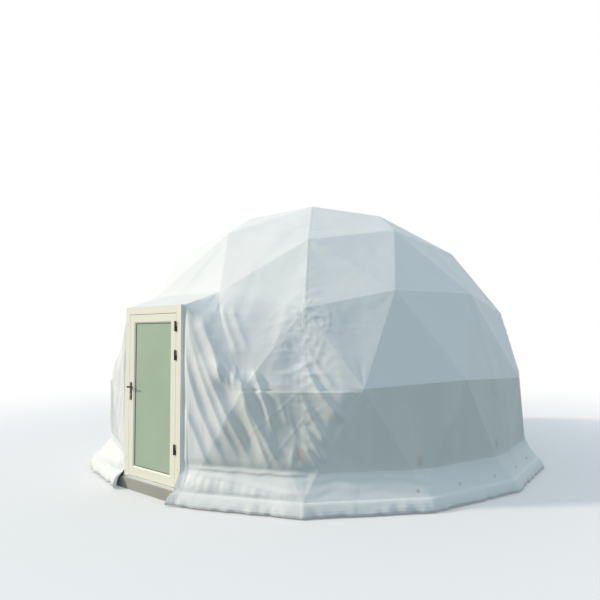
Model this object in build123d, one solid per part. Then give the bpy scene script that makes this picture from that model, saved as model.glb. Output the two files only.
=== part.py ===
import os
from math import atan, cos, degrees, pi, radians, sin, sqrt
from build123d import *

# A geodesic dome house: a frame of bolted tubes on a concrete pad, a membrane cover and a glazed door.
# Millimetres, +Z up. The origin is on the ground, on the dome's axis, and the door faces -Y.

# Ground slab
slab_thickness = 120.0
slab_margin = 90.0

# Geodesic frame
hub_radius = 3000.0
frequency = 3
facet_share = 0.972
base_height = 45.0
floor_below_centre = 584.0
tube_diameter = 34.0
tube_wall = 2.5
tongue_width = 50.0
tongue_tip = 52.0
tongue_bend = 98.0
taper_length = 52.0
hub_drop = 9.0
hub_plate_radius = 95.0
hub_plate_thickness = 6.0
hub_plate_sides = 10
shoe_foot_width = 180.0
shoe_foot_depth = 90.0
shoe_foot_thickness = 8.0

# Cover and skirt
cover_thickness = 1.0
cover_clearance = 0.3
panel_gap = 0.3
cheek_gap = 0.6
flap_gap = 1.0
skirt_top = 250.0
skirt_lap = 1.5
skirt_clearance = 4.0
hem_spread = 96.0

# Doorway
door_width = 1060.0
door_height = 1980.0
door_setback = 35.0
frame_depth = 70.0
frame_face = 85.0
stop_width = 16.0
stop_depth = 12.0
threshold_height = 30.0
threshold_lip = 12.0
portal_tube = 40.0
portal_inset = 40.0
portal_foot_width = 60.0
portal_foot_depth = 80.0

# Door leaf
leaf_gap = 5.0
leaf_thickness = 50.0
stile_width = 100.0
bottom_rail_height = 110.0
rebate_width = 14.0
rebate_depth = 12.0
glass_thickness = 20.0
seat_gap = 0.3
bead_edge = 6.0

# Hinges
hinge_axis_out = 14.0
hinge_barrel_radius = 9.0
hinge_pin_radius = 5.0
hinge_pin_clearance = 0.1
hinge_length = 110.0
hinge_knuckle_gap = 1.0
hinge_flag_width = 15.0
hinge_flag_thickness = 3.0
hinge_web = 6.0
hinge_places = (0.218, 0.726, 0.883)

# Handle
lever_height = 1050.0
lever_backset = 36.0
plate_width = 30.0
plate_length = 205.0
plate_thickness = 7.0
plate_above_lever = 52.0
cylinder_below_lever = 82.0
cylinder_radius = 8.5
cylinder_tail = 22.0
cylinder_tail_width = 10.0
cylinder_proud = 3.0
neck_radius = 9.0
neck_clearance = 0.6
neck_length = 44.0
grip_length = 118.0
grip_height = 20.0
grip_thickness = 13.0
grip_chamfer = 3.5
grip_taper = 0.8
spindle_radius = 5.0
spindle_clearance = 1.0

# Levels
floor = slab_thickness
centre_height = floor + floor_below_centre
base_level = floor + base_height
centre = Vector(0, 0, centre_height)

# Half widths of the doorway
half_width = door_width / 2
clear_half = half_width - frame_face
post_half = half_width - portal_inset

# Corners of the pad, the skirt's fold over its rim, and the hem on the ground
slab_corner_radius = hub_radius + slab_margin
rim_radius = slab_corner_radius + skirt_clearance
rim_level = floor + skirt_clearance
hem_radius = rim_radius + hem_spread


# Geodesic net, in unit vectors from the dome's centre. The base ring lies a little below it.
base_ring_above, base_ring_below = -0.1, -0.2


def on_sphere(polar, azimuth):
    """A unit vector at a polar angle from the top and an azimuth from the door, in degrees."""
    flat = sin(radians(polar))
    return Vector(flat * sin(radians(azimuth)), -flat * cos(radians(azimuth)), cos(radians(polar)))


def icosahedron_faces():
    """The 15 upper faces of an icosahedron that stands on a corner: five caps, five sides, five lower sides."""
    ring = degrees(pi / 2 - atan(0.5))
    top = on_sphere(0, 0)
    upper = [on_sphere(ring, 36 + 72 * i) for i in range(5)]
    lower = [on_sphere(180 - ring, 72 * i) for i in range(5)]
    caps = [(top, upper[i], upper[(i + 1) % 5]) for i in range(5)]
    downward = [(upper[i], lower[(i + 1) % 5], upper[(i + 1) % 5]) for i in range(5)]
    upward = [(upper[i], lower[i], lower[(i + 1) % 5]) for i in range(5)]
    return caps, downward, upward


def hub_point(direction):
    """The hub on a direction from the dome's centre. The lowest ring is set level, at the base height."""
    if direction.Z > base_ring_above:
        return centre + direction * hub_radius
    z = (base_level - centre_height) / hub_radius
    level = Vector(direction.X, direction.Y, 0).normalized()
    return centre + (level * sqrt(1 - z * z) + Vector(0, 0, z)) * hub_radius


def divide(face):
    """The small triangles of one icosahedron face, each as three unit vectors."""
    a, b, c = face

    def at(i, j):
        return (a * (frequency - i - j) + b * i + c * j).normalized()

    rows = [(i, j) for i in range(frequency) for j in range(frequency - i)]
    small = [(at(i, j), at(i + 1, j), at(i, j + 1)) for i, j in rows]
    small += [(at(i + 1, j), at(i + 1, j + 1), at(i, j + 1)) for i, j in rows if i + j < frequency - 1]
    return [t for t in small if min(v.Z for v in t) > base_ring_below]


def key(direction):
    return tuple(round(x, 4) + 0.0 for x in direction)


def ring_of(direction):
    """The ring that a hub is on, from 0 at the crown to 5 at the base."""
    return round(direction.get_angle(Vector(0, 0, 1)) / 20)


cap_faces, side_faces, low_faces = icosahedron_faces()
sectors = {f"cover_crown_{i + 1}": divide(cap_faces[i]) for i in range(5)}
sectors |= {f"cover_side_{i + 1}": divide(side_faces[i]) + divide(low_faces[i]) for i in range(5)}
hubs = {key(v): v for small in sectors.values() for t in small for v in t}


def nearest_hub(polar, azimuth):
    """The hub nearest to a polar angle and an azimuth from the door."""
    return min(hubs, key=lambda k: (hubs[k] - on_sphere(polar, azimuth)).length)


# The hub that the doorway takes the place of, and the three beside the doorway on its right
missing = nearest_hub(79, 0)
brow_hub = nearest_hub(59, 14)
cheek_hub = nearest_hub(80, 24)
foot_hub = nearest_hub(100, 12)
sectors = {n: [t for t in small if missing not in map(key, t)] for n, small in sectors.items()}


def edges():
    """Each strut once, as the keys of its two hubs. The base stays open in the doorway."""
    found = set()
    for small in sectors.values():
        for t in small:
            for i in range(3):
                found.add(tuple(sorted((key(t[i]), key(t[(i + 1) % 3])))))
    return sorted(found)


struts = edges()
del hubs[missing]
points = {k: hub_point(v) for k, v in hubs.items()}
base_hubs = sorted((k for k in hubs if ring_of(hubs[k]) == 5), key=lambda k: -hubs[k].Y)
foot_direction = Vector(points[foot_hub].X, points[foot_hub].Y, 0).normalized()

# The door's outer face, measured from the dome's axis
door_face = -foot_direction.Y * slab_corner_radius - door_setback


# Solids from flat faces
def solid_of(faces):
    """A closed solid from lists of corners, one list for each flat face."""
    return Solid(Shell([Face(Wire.make_polygon(corners, close=True)) for corners in faces]))


def solid_between(first, last):
    """A closed solid between two flat outlines with as many corners, the last one lying ahead of the first."""
    count = len(first)
    sides = [(first[i], first[(i + 1) % count], last[(i + 1) % count], last[i]) for i in range(count)]
    return solid_of([first, last, *sides])


def flat_panel(corners, thickness, gap):
    """A flat sheet with these corners, seen anticlockwise from outside, drawn in by a gap all round."""
    count = len(corners)
    normal = (corners[1] - corners[0]).cross(corners[2] - corners[0]).normalized()
    inner = []
    for i, corner in enumerate(corners):
        before = (corner - corners[i - 1]).normalized()
        after = (corners[(i + 1) % count] - corner).normalized()
        inward = (normal.cross(before) + normal.cross(after)).normalized()
        inner.append(corner + inward * (gap / inward.dot(normal.cross(before))))
    return solid_between(inner, [p + normal * thickness for p in inner])


# Tubes with flattened ends
def rectangle_at(point, side, up, width, height):
    w, h = side * (width / 2), up * (height / 2)
    return [point + w + h, point - w + h, point - w - h, point + w - h]


def hexagon_at(point, side, up, radius):
    turns = [radians(60 * i) for i in range(6)]
    return [point + side * (radius * cos(a)) + up * (radius * sin(a)) for a in turns]


def tongue(seat, normal, towards, tip, bend):
    """The flattened end's two sections, at its tip and at its bend, on a seat plane."""
    along = (towards - normal * towards.dot(normal)).normalized()
    side = along.cross(normal)
    thickness = 2 * tube_wall
    near = rectangle_at(seat + along * tip, side, normal, tongue_width, thickness)
    far = rectangle_at(seat + along * bend, side, normal, tongue_width, thickness)
    return near, far


def tube(a, b, up, seat_a, seat_b):
    """A tube between two points, with each end flattened and bent on to its seat.

    A seat is a point on the flattened end's middle plane, that plane's normal, and how far from the
    point the end's tip and its bend lie. The round tube is drawn with six sides and the same section.
    """
    along = (b - a).normalized()
    up = (up - along * up.dot(along)).normalized()
    side = along.cross(up)
    radius = tube_diameter / 2 * sqrt(2 * pi / (3 * sqrt(3)))
    faces, rings = [], []
    for seat, towards, end in ((seat_a, along, a), (seat_b, -along, b)):
        point, normal, tip, bend = seat
        near, far = tongue(point, normal, towards, tip, bend)
        if towards is not along:
            near = [near[i] for i in (1, 0, 3, 2)]
            far = [far[i] for i in (1, 0, 3, 2)]
        hexagon = hexagon_at(end + towards * (bend + taper_length), side, up, radius)
        faces += [near] + [
            (near[i], near[(i + 1) % 4], far[(i + 1) % 4], far[i]) for i in range(4)
        ]
        faces += [
            (far[0], far[1], hexagon[1]),
            (far[1], hexagon[2], hexagon[1]),
            (far[1], hexagon[3], hexagon[2]),
            (far[1], far[2], hexagon[3]),
            (far[2], hexagon[4], hexagon[3]),
            (far[2], far[3], hexagon[4]),
            (far[3], hexagon[5], hexagon[4]),
            (far[3], hexagon[0], hexagon[5]),
            (far[3], far[0], hexagon[0]),
            (far[0], hexagon[1], hexagon[0]),
        ]
        rings.append(hexagon)
    first, last = rings
    faces += [(first[i], first[(i + 1) % 6], last[(i + 1) % 6], last[i]) for i in range(6)]
    return solid_of(faces)


def outward(point):
    return (point - centre).normalized()


def hub_seat(point):
    """Where a tube's flattened end lies on a hub: a little inside the hub point, square to the radius."""
    return (point - outward(point) * hub_drop, outward(point), tongue_tip, tongue_bend)


def strut(a, b):
    up = outward((a + b) * 0.5)
    return tube(a, b, up, hub_seat(a), hub_seat(b))


strut_names = {
    (0, 1): "crown_struts",
    (1, 1): "crown_ring",
    (1, 2): "upper_struts",
    (2, 2): "upper_ring",
    (2, 3): "shoulder_struts",
    (3, 3): "shoulder_ring",
    (3, 4): "wall_struts",
    (4, 4): "waist_ring",
    (4, 5): "base_struts",
    (5, 5): "base_ring",
}
hub_names = ["crown_hub", "upper_hubs_1", "upper_hubs_2", "shoulder_hubs", "waist_hubs"]


def frame_struts():
    """The struts of the dome, in one list for each ring or band."""
    groups = {name: [] for name in strut_names.values()}
    for a, b in struts:
        rings = tuple(sorted((ring_of(hubs[a]), ring_of(hubs[b]))))
        groups[strut_names[rings]].append(strut(points[a], points[b]))
    return groups


# Hub plates and base shoes
def hub_plate(point):
    """The round plate that the flattened ends are bolted to, on their inner side."""
    normal = outward(point)
    face = point - normal * (hub_drop + tube_wall + hub_plate_thickness)
    plate = extrude(RegularPolygon(hub_plate_radius, hub_plate_sides), hub_plate_thickness)
    return Plane(origin=face, z_dir=normal) * plate


def frame_hubs():
    groups = {name: [] for name in hub_names}
    for k in hubs:
        if ring_of(hubs[k]) < 5:
            groups[hub_names[ring_of(hubs[k])]].append(hub_plate(points[k]))
    return groups


def base_shoe(point):
    """A hub plate cut off at a foot that stands on the slab, with the foot to its inner side."""
    away = Vector(point.X, point.Y, 0).normalized()
    foot_top = floor + shoe_foot_thickness
    upright = split(hub_plate(point), bisect_by=Plane(origin=(0, 0, foot_top)), keep=Keep.TOP)
    inner = point - outward(point) * (hub_drop + tube_wall + hub_plate_thickness)
    reach = Vector(inner.X, inner.Y, 0).length
    foot = Box(
        shoe_foot_depth,
        shoe_foot_width,
        shoe_foot_thickness,
        align=(Align.MAX, Align.CENTER, Align.MIN),
    )
    place = Plane(origin=(0, 0, floor), x_dir=away, z_dir=(0, 0, 1))
    return upright + place * (Pos(reach, 0, 0) * foot)


# Slab
def polygon_ring(radius):
    """The 15 corners at the base hubs' azimuths, at one radius, in order round the dome."""
    flat = [Vector(points[k].X, points[k].Y, 0).normalized() for k in base_hubs]
    ordered = sorted(flat, key=heading)
    return [v * radius for v in ordered]


def heading(v):
    """The azimuth of a level direction, anticlockwise from +X as seen from above, in degrees."""
    return Vector(1, 0, 0).get_signed_angle(v, Vector(0, 0, 1)) % 360


def slab():
    outline = Wire.make_polygon(polygon_ring(slab_corner_radius), close=True)
    return extrude(Face(outline), slab_thickness, dir=(0, 0, 1))


# Cover
lift = (tube_diameter / 2 + cover_clearance) / (facet_share * hub_radius)


def cover_point(direction):
    """Where the cover's inner face passes over a hub."""
    return centre + (hub_point(direction) - centre) * (1 + lift)


def cover_panel(triangle):
    corners = [cover_point(v) for v in triangle]
    normal = (corners[1] - corners[0]).cross(corners[2] - corners[0])
    if normal.dot(corners[0] - centre) < 0:
        corners.reverse()
    return flat_panel(corners, cover_thickness, panel_gap)


# Skirt
def at_height(v, z):
    return Vector(v.X, v.Y, z)


def skirt_top_corner():
    """The radius at which the skirt's upper corners stand, so that each edge between them clears the cover."""
    reach = 0
    for small in sectors.values():
        for t in small:
            low = [cover_point(v) for v in t if ring_of(v) == 5]
            if len(low) == 2:
                apex = next(cover_point(v) for v in t if ring_of(v) < 5)
                middle = (low[0] + low[1]) * 0.5
                share = (floor + skirt_top - middle.Z) / (apex.Z - middle.Z)
                wall = middle + (apex - middle) * share
                spread = atan((low[0] - low[1]).length / 2 / Vector(middle.X, middle.Y, 0).length)
                reach = max(reach, (Vector(wall.X, wall.Y, 0).length + skirt_lap) / cos(spread))
    return reach


def skirt():
    """The loose lower edge of the cover: a band down to the slab's rim, and a hem down to the ground."""
    top = [at_height(v, floor + skirt_top) for v in polygon_ring(skirt_top_corner())]
    edge = [at_height(v, rim_level) for v in polygon_ring(rim_radius)]
    hem = [at_height(v, 0) for v in polygon_ring(hem_radius)]
    band_panels, hem_panels = [], []
    for i in range(15):
        j = (i + 1) % 15
        if top[i].Y < 0 and top[j].Y < 0 and top[i].X * top[j].X < 0:
            continue
        band_panels.append(flat_panel([edge[i], edge[j], top[j], top[i]], cover_thickness, panel_gap))
        hem_panels.append(flat_panel([hem[i], hem[j], edge[j], edge[i]], cover_thickness, panel_gap))
    return band_panels, hem_panels


# Porch between the dome and the door
def mirrored(v, side):
    return Vector(v.X * side, v.Y, v.Z)


head_level = floor + door_height + seat_gap
head_corner = Vector(half_width, -door_face, head_level)
back_corner = Vector(half_width, -door_face + frame_depth + portal_tube, head_level)
foot_corner = Vector(half_width, -door_face, rim_level)


def front_of(corner, level):
    """A point beside the door, in line with the front edge that ends at a corner on the foot hub's azimuth."""
    return Vector(half_width + skirt_clearance, corner.Y, level)


def porch_hem(side):
    """The short end of the hem between the door's foot and the first corner of the skirt."""
    edge = at_height(foot_direction * rim_radius, rim_level)
    hem = at_height(foot_direction * hem_radius, 0)
    corners = [front_of(hem, 0), hem, edge, front_of(edge, edge.Z)]
    corners = [mirrored(v, side) for v in corners]
    if side < 0:
        corners.reverse()
    return flat_panel(corners, cover_thickness, panel_gap)


def porch_roof():
    """The porch's top: a level strip over the door set and its header, and a slope up to the brow hubs."""
    brow = cover_point(hubs[brow_hub])
    panels = []
    for near, far in ((head_corner, back_corner), (back_corner, brow)):
        corners = [mirrored(near, -1), near, far, mirrored(far, -1)]
        panels.append(flat_panel(corners, cover_thickness, panel_gap))
    return panels


def porch_cheek(side):
    """The loose side of the porch, from the jamb to the brow hub, the cheek hub and the skirt."""
    brow = cover_point(hubs[brow_hub])
    cheek = cover_point(hubs[cheek_hub])
    foot = cover_point(hubs[foot_hub])
    knee = at_height(foot_direction * skirt_top_corner(), floor + skirt_top)
    toe = at_height(foot_direction * rim_radius, rim_level)
    triangles = [
        (back_corner, cheek, brow),
        (head_corner, cheek, back_corner),
        (head_corner, foot, cheek),
        (head_corner, foot_corner, foot),
        (foot_corner, toe, knee),
        (foot_corner, front_of(toe, toe.Z), toe),
    ]
    panels = []
    for triangle in triangles:
        corners = [mirrored(v, side) for v in triangle]
        if side < 0:
            corners.reverse()
        gap = flap_gap if triangle is triangles[-1] else cheek_gap
        panels.append(flat_panel(corners, cover_thickness, gap))
    return panels


# Door frame, portal and links
def door_box(x0, x1, depth0, depth1, z0, z1):
    """A box in the doorway, with its depths measured back from the door's face and heights from the floor."""
    corner = Vector(min(x0, x1), -door_face + depth0, floor + z0)
    size = (abs(x1 - x0), depth1 - depth0, z1 - z0)
    return Pos(corner) * Box(*size, align=(Align.MIN, Align.MIN, Align.MIN))


def jamb(side):
    post = door_box(side * half_width, side * clear_half, 0, frame_depth, threshold_height, door_height)
    stop = door_box(
        side * clear_half,
        side * (clear_half - stop_width),
        frame_depth - stop_depth,
        frame_depth,
        threshold_height,
        door_height - frame_face,
    )
    return post + stop


def door_head():
    beam = door_box(-clear_half, clear_half, 0, frame_depth, door_height - frame_face, door_height)
    inner = clear_half - stop_width
    top = door_height - frame_face
    stop = door_box(-inner, inner, frame_depth - stop_depth, frame_depth, top - stop_width, top)
    return beam + stop


def threshold():
    """The sill under the jambs and the leaf, with a lip in front of them."""
    return door_box(-half_width, half_width, -threshold_lip, frame_depth, 0, threshold_height)


def portal_post(side):
    outer, inner = side * post_half, side * (post_half - portal_tube)
    post = door_box(outer, inner, frame_depth, frame_depth + portal_tube, 0, door_height)
    middle = post_half - portal_tube / 2
    foot = door_box(
        side * (middle + portal_foot_width / 2),
        side * (middle - portal_foot_width / 2),
        frame_depth,
        frame_depth + portal_foot_depth,
        0,
        shoe_foot_thickness,
    )
    return post + foot


def portal_header():
    inner = post_half - portal_tube
    return door_box(
        -inner, inner, frame_depth, frame_depth + portal_tube, door_height - portal_tube, door_height
    )


def portal_link(side, hub, height):
    """A tube from a hub beside the opening to the back of a portal post."""
    start = points[hub]
    depth = -door_face + frame_depth + portal_tube + tube_wall
    end = Vector(post_half - portal_tube / 2, depth, floor + height)
    first = hub_seat(start)
    last = (end, Vector(0, 1, 0), -tongue_width / 4, tongue_width / 2)
    link = tube(start, end, outward(start), first, last)
    return link if side > 0 else link.mirror(Plane.YZ)


# Door leaf
leaf_half = clear_half - leaf_gap
leaf_bottom = threshold_height + leaf_gap
leaf_top = door_height - frame_face - leaf_gap


def stile(side):
    """An upright of the leaf, with the lip that the glass rests against. The lock side has the spindle hole."""
    inner = leaf_half - stile_width + rebate_width
    body = door_box(side * leaf_half, side * inner, 0, leaf_thickness, leaf_bottom, leaf_top)
    lip = door_box(
        side * inner,
        side * (inner - rebate_width),
        leaf_thickness - rebate_depth,
        leaf_thickness,
        leaf_bottom + bottom_rail_height,
        leaf_top - stile_width,
    )
    if side > 0:
        return body + lip
    bore = Cylinder(spindle_radius + spindle_clearance, 2 * leaf_thickness)
    middle = Vector(lever_x, -door_face + leaf_thickness / 2, floor + lever_height)
    return body + lip - Pos(middle) * (Rot(90, 0, 0) * bore)


def rail(low, high, lip_low, lip_high):
    inner = leaf_half - stile_width + rebate_width
    body = door_box(-inner, inner, 0, leaf_thickness, low, high)
    lip = door_box(
        -inner + rebate_width,
        inner - rebate_width,
        leaf_thickness - rebate_depth,
        leaf_thickness,
        lip_low,
        lip_high,
    )
    return body + lip


def rails():
    low_edge = leaf_bottom + bottom_rail_height
    high_edge = leaf_top - stile_width
    bottom = rail(leaf_bottom, low_edge - rebate_width, low_edge - rebate_width, low_edge)
    top = rail(high_edge + rebate_width, leaf_top, high_edge, high_edge + rebate_width)
    return [bottom, top]


glass_half = leaf_half - stile_width + rebate_width - seat_gap
glass_low = leaf_bottom + bottom_rail_height - rebate_width + seat_gap
glass_high = leaf_top - stile_width + rebate_width - seat_gap
glass_back = leaf_thickness - rebate_depth
glass_front = glass_back - glass_thickness


def glass():
    return door_box(-glass_half, glass_half, glass_front, glass_back, glass_low, glass_high)


def bead(length):
    """A glazing bead along +X, sloping in from the leaf's face to the glass, with its back on z = 0."""
    profile = Polyline(
        (0, 0), (rebate_width, 0), (rebate_width, bead_edge), (0, glass_front), close=True
    )
    bar = extrude(Plane.YZ * make_face(profile), length / 2, both=True)
    cut = Plane(origin=(length / 2, 0, 0), z_dir=(1, 1, 0))
    bar = split(bar, bisect_by=cut, keep=Keep.BOTTOM)
    other = Plane(origin=(-length / 2, 0, 0), z_dir=(-1, 1, 0))
    return split(bar, bisect_by=other, keep=Keep.BOTTOM)


def beads():
    """The four glazing beads in front of the glass, mitred at the corners."""
    middle = floor + (glass_low + glass_high) / 2
    face = Plane(origin=(0, -door_face + glass_front, middle), x_dir=(1, 0, 0), z_dir=(0, -1, 0))
    half_high = (glass_high - glass_low) / 2
    across, tall = 2 * glass_half - seat_gap, 2 * half_high - seat_gap
    return [
        face * (Pos(0, -half_high, 0) * bead(across)),
        face * (Rot(0, 0, 180) * (Pos(0, -half_high, 0) * bead(across))),
        face * (Rot(0, 0, 90) * (Pos(0, -glass_half, 0) * bead(tall))),
        face * (Rot(0, 0, -90) * (Pos(0, -glass_half, 0) * bead(tall))),
    ]


# Hinges
hinge_x = clear_half - leaf_gap / 2
hinge_y = -door_face - hinge_axis_out


def hinge_half(side):
    """One half of a hinge: a barrel in front of the face, a web back to it and a screwed flag."""
    tall = (hinge_length - hinge_knuckle_gap) / 2
    barrel = Cylinder(
        hinge_barrel_radius, tall, align=(Align.CENTER, Align.CENTER, Align.MIN)
    )
    gap = leaf_gap / 2 + hinge_knuckle_gap
    web = Pos(side * gap, 0, 0) * Box(
        hinge_web,
        hinge_axis_out,
        tall,
        align=(Align.MIN if side > 0 else Align.MAX, Align.MIN, Align.MIN),
    )
    flag = Pos(side * gap, hinge_axis_out - hinge_flag_thickness, 0) * Box(
        hinge_flag_width,
        hinge_flag_thickness,
        tall,
        align=(Align.MIN if side > 0 else Align.MAX, Align.MIN, Align.MIN),
    )
    return barrel + web + flag


def hinge_place(share):
    return Pos(hinge_x, hinge_y, floor + share * door_height - hinge_length / 2)


def hinge_on_frame(share):
    """The lower half, on the jamb, with the pin standing up from it."""
    half = hinge_half(1)
    pin = Cylinder(
        hinge_pin_radius,
        hinge_length - 3 * hinge_barrel_radius,
        align=(Align.CENTER, Align.CENTER, Align.MIN),
    )
    start = hinge_barrel_radius
    return hinge_place(share) * (half + Pos(0, 0, start) * pin)


def hinge_on_leaf(share):
    """The upper half, on the leaf, with the bore that turns on the pin."""
    rise = (hinge_length + hinge_knuckle_gap) / 2
    bore = Cylinder(
        hinge_pin_radius + hinge_pin_clearance,
        hinge_length - rise - hinge_barrel_radius,
        align=(Align.CENTER, Align.CENTER, Align.MIN),
    )
    half = hinge_half(-1) - bore
    return hinge_place(share) * (Pos(0, 0, rise) * half)


# Handles
lever_x = -(leaf_half - lever_backset)
lever_z = floor + lever_height


def lock_face(side):
    """A plane on the leaf's outer (-1) or inner (+1) face, at the lever's pivot, with its normal off the leaf."""
    depth = 0 if side < 0 else leaf_thickness
    return Plane(origin=(lever_x, -door_face + depth, lever_z), x_dir=(-side, 0, 0), z_dir=(0, side, 0))


def cylinder_outline(offset=0.0):
    """The section of a profile lock cylinder: a round barrel over a narrower tail."""
    tail = Rectangle(
        cylinder_tail_width + 2 * offset,
        cylinder_tail + offset,
        align=(Align.CENTER, Align.MAX),
    )
    return Circle(cylinder_radius + offset) + tail


def back_plate(side):
    """A long plate with a hole for the lever's neck and one for the lock cylinder."""
    middle = plate_above_lever - plate_length / 2
    sketch = Pos(0, middle) * RectangleRounded(plate_width, plate_length, plate_width / 6)
    sketch -= Circle(neck_radius + neck_clearance)
    sketch -= Pos(0, -cylinder_below_lever) * cylinder_outline(seat_gap)
    return lock_face(side) * extrude(sketch, plate_thickness)


def lock_cylinder(side):
    sketch = Pos(0, -cylinder_below_lever) * cylinder_outline()
    return lock_face(side) * extrude(sketch, plate_thickness + cylinder_proud)


def grip_section(along, taper):
    """The grip's outline at one place along it: a bar with its corners taken off, centred off the neck's end."""
    high, deep, cut = grip_height * taper / 2, grip_thickness * taper / 2, grip_chamfer * taper
    corners = [(high, deep - cut), (high - cut, deep), (cut - high, deep), (-high, deep - cut)]
    corners += [(-y, -z) for y, z in corners]
    return [Vector(along, y, neck_length + grip_thickness / 2 + z) for y, z in corners]


def lever(side):
    """A lever handle: a round neck off the door and a tapered grip that points to the hinges."""
    neck = extrude(Pos(0, 0, seat_gap) * Circle(neck_radius), neck_length + grip_thickness / 2)
    root = grip_section(-neck_radius, 1)
    grip = solid_between(root, grip_section(grip_length - neck_radius, grip_taper))
    if side > 0:
        grip = grip.mirror(Plane.YZ)
    return lock_face(side) * (neck + grip)


def spindle():
    """The bar through the leaf that joins the two levers."""
    length = leaf_thickness + 2 * seat_gap
    bar = Cylinder(spindle_radius, length)
    return Pos(lever_x, -door_face + leaf_thickness / 2, lever_z) * (Rot(90, 0, 0) * bar)


# Write every sub-part
def save(name, solids):
    solids = [s for item in solids for s in item.solids()]
    shape = solids[0] if len(solids) == 1 else Compound(children=solids)
    shape.label = name
    export_step(shape, f"parts/{name}.step")


def main():
    os.makedirs("parts", exist_ok=True)
    save("floor_slab", [slab()])
    for name, group in frame_struts().items():
        save(name, group)
    for name, group in frame_hubs().items():
        save(name, group)
    save("base_shoes", [base_shoe(points[k]) for k in base_hubs])
    for name, small in sectors.items():
        save(name, [cover_panel(t) for t in small])
    band_panels, hem_panels = skirt()
    save("skirt_band", band_panels)
    save("skirt_hem", [*hem_panels, porch_hem(-1), porch_hem(1)])
    save("porch_roof", porch_roof())
    save("porch_cheek_left", porch_cheek(-1))
    save("porch_cheek_right", porch_cheek(1))
    save("door_jambs", [jamb(-1), jamb(1)])
    save("door_head", [door_head()])
    save("door_threshold", [threshold()])
    save("portal_posts", [portal_post(-1), portal_post(1)])
    save("portal_header", [portal_header()])
    links = [(side, hub, height) for side in (-1, 1) for hub, height in link_places]
    save("portal_links", [portal_link(*link) for link in links])
    save("hinge_frame_halves", [hinge_on_frame(share) for share in hinge_places])
    save("leaf_stiles", [stile(-1), stile(1)])
    save("leaf_rails", rails())
    save("door_glass", [glass()])
    save("glazing_beads", beads())
    save("hinge_leaf_halves", [hinge_on_leaf(share) for share in hinge_places])
    save("lock_plates", [back_plate(-1), back_plate(1)])
    save("lock_cylinders", [lock_cylinder(-1), lock_cylinder(1)])
    save("lever_outside", [lever(-1)])
    save("lever_inside", [lever(1)])
    save("lever_spindle", [spindle()])


link_places = [(brow_hub, door_height - 1.5 * portal_tube), (cheek_hub, points[cheek_hub].Z - floor)]
main()
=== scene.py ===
from math import atan2, cos, degrees, pi, radians, sin, sqrt

import bmesh
import bpy
import numpy as np
from mathutils import Matrix, Vector, noise


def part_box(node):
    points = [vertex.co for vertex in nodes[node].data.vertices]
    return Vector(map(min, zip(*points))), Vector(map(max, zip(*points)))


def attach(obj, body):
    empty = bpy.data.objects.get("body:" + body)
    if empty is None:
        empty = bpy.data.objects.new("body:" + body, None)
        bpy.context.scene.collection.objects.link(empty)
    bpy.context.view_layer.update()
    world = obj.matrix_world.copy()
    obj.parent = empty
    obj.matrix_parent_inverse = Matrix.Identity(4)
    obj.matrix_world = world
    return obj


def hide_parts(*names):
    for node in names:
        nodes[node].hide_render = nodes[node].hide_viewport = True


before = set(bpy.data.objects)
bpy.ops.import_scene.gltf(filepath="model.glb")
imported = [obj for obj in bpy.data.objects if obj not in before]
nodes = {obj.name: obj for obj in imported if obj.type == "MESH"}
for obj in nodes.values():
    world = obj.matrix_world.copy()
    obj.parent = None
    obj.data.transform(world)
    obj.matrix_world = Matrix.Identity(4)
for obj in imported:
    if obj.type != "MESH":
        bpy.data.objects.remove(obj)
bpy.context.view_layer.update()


# Concrete pad: a fifteen-sided slab of grey concrete, poured in a form and floated by hand.
# The membrane hides its edge, and its top is the floor inside.
def linear(hex_colour):
    """A colour written as sRGB hex, as the linear numbers that a shader takes."""
    channels = [int(hex_colour[i : i + 2], 16) / 255 for i in (1, 3, 5)]
    return [c / 12.92 if c <= 0.04045 else ((c + 0.055) / 1.055) ** 2.4 for c in channels] + [1.0]


def add_node(tree, kind, inputs, **settings):
    """Adds a node, sets its properties, and sets or links its inputs, given by name or number."""
    node = tree.nodes.new("ShaderNode" + kind)
    for name, value in settings.items():
        setattr(node, name, value)
    for name, value in inputs.items():
        if isinstance(value, bpy.types.NodeSocket):
            tree.links.new(value, node.inputs[name])
        else:
            node.inputs[name].default_value = value
    return node


def new_material(name, **sockets):
    """A material with one Principled shader. The sockets are its constants, with spaces as underscores."""
    material = bpy.data.materials.new(name)
    material.use_nodes = True
    shader = material.node_tree.nodes["Principled BSDF"]
    for socket, value in sockets.items():
        shader.inputs[socket.replace("_", " ")].default_value = value
    return material, material.node_tree, shader


def coat(material, *pieces):
    """Makes a material the only one on each piece. A CAD node is given by its name."""
    for piece in pieces:
        coats = (nodes[piece] if isinstance(piece, str) else piece).data.materials
        coats.clear()
        coats.append(material)


# Floated concrete: matt and mid grey, with cloudy damp patches, sand grain and trowel waves. The sand is
# drawn at 6 mm, coarser than it is, so that it shows.
concrete, tree, shader = new_material("floated_concrete", Roughness=0.86)
place = add_node(tree, "TexCoord", {}).outputs["Object"]
clouds = add_node(tree, "TexNoise", {"Vector": place, "Scale": 1.7, "Detail": 6.0, "Roughness": 0.62})
sand = add_node(tree, "TexNoise", {"Vector": place, "Scale": 160.0, "Detail": 3.0})
tone = add_node(
    tree, "Mix", {0: clouds.outputs[0], 6: linear("#9d9a91"), 7: linear("#c3c1b8")}, data_type="RGBA"
)
grain = add_node(tree, "MapRange", {0: sand.outputs[0], 1: 0.35, 2: 0.65, 3: 0.86, 4: 1.06})
colour = add_node(tree, "VectorMath", {0: tone.outputs[2], "Scale": grain.outputs[0]}, operation="SCALE")
tree.links.new(colour.outputs[0], shader.inputs["Base Color"])
rough = add_node(tree, "Bump", {"Strength": 0.5, "Distance": 0.002, "Height": sand.outputs[0]})
tree.links.new(rough.outputs[0], shader.inputs["Normal"])
coat(concrete, "floor_slab")


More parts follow.
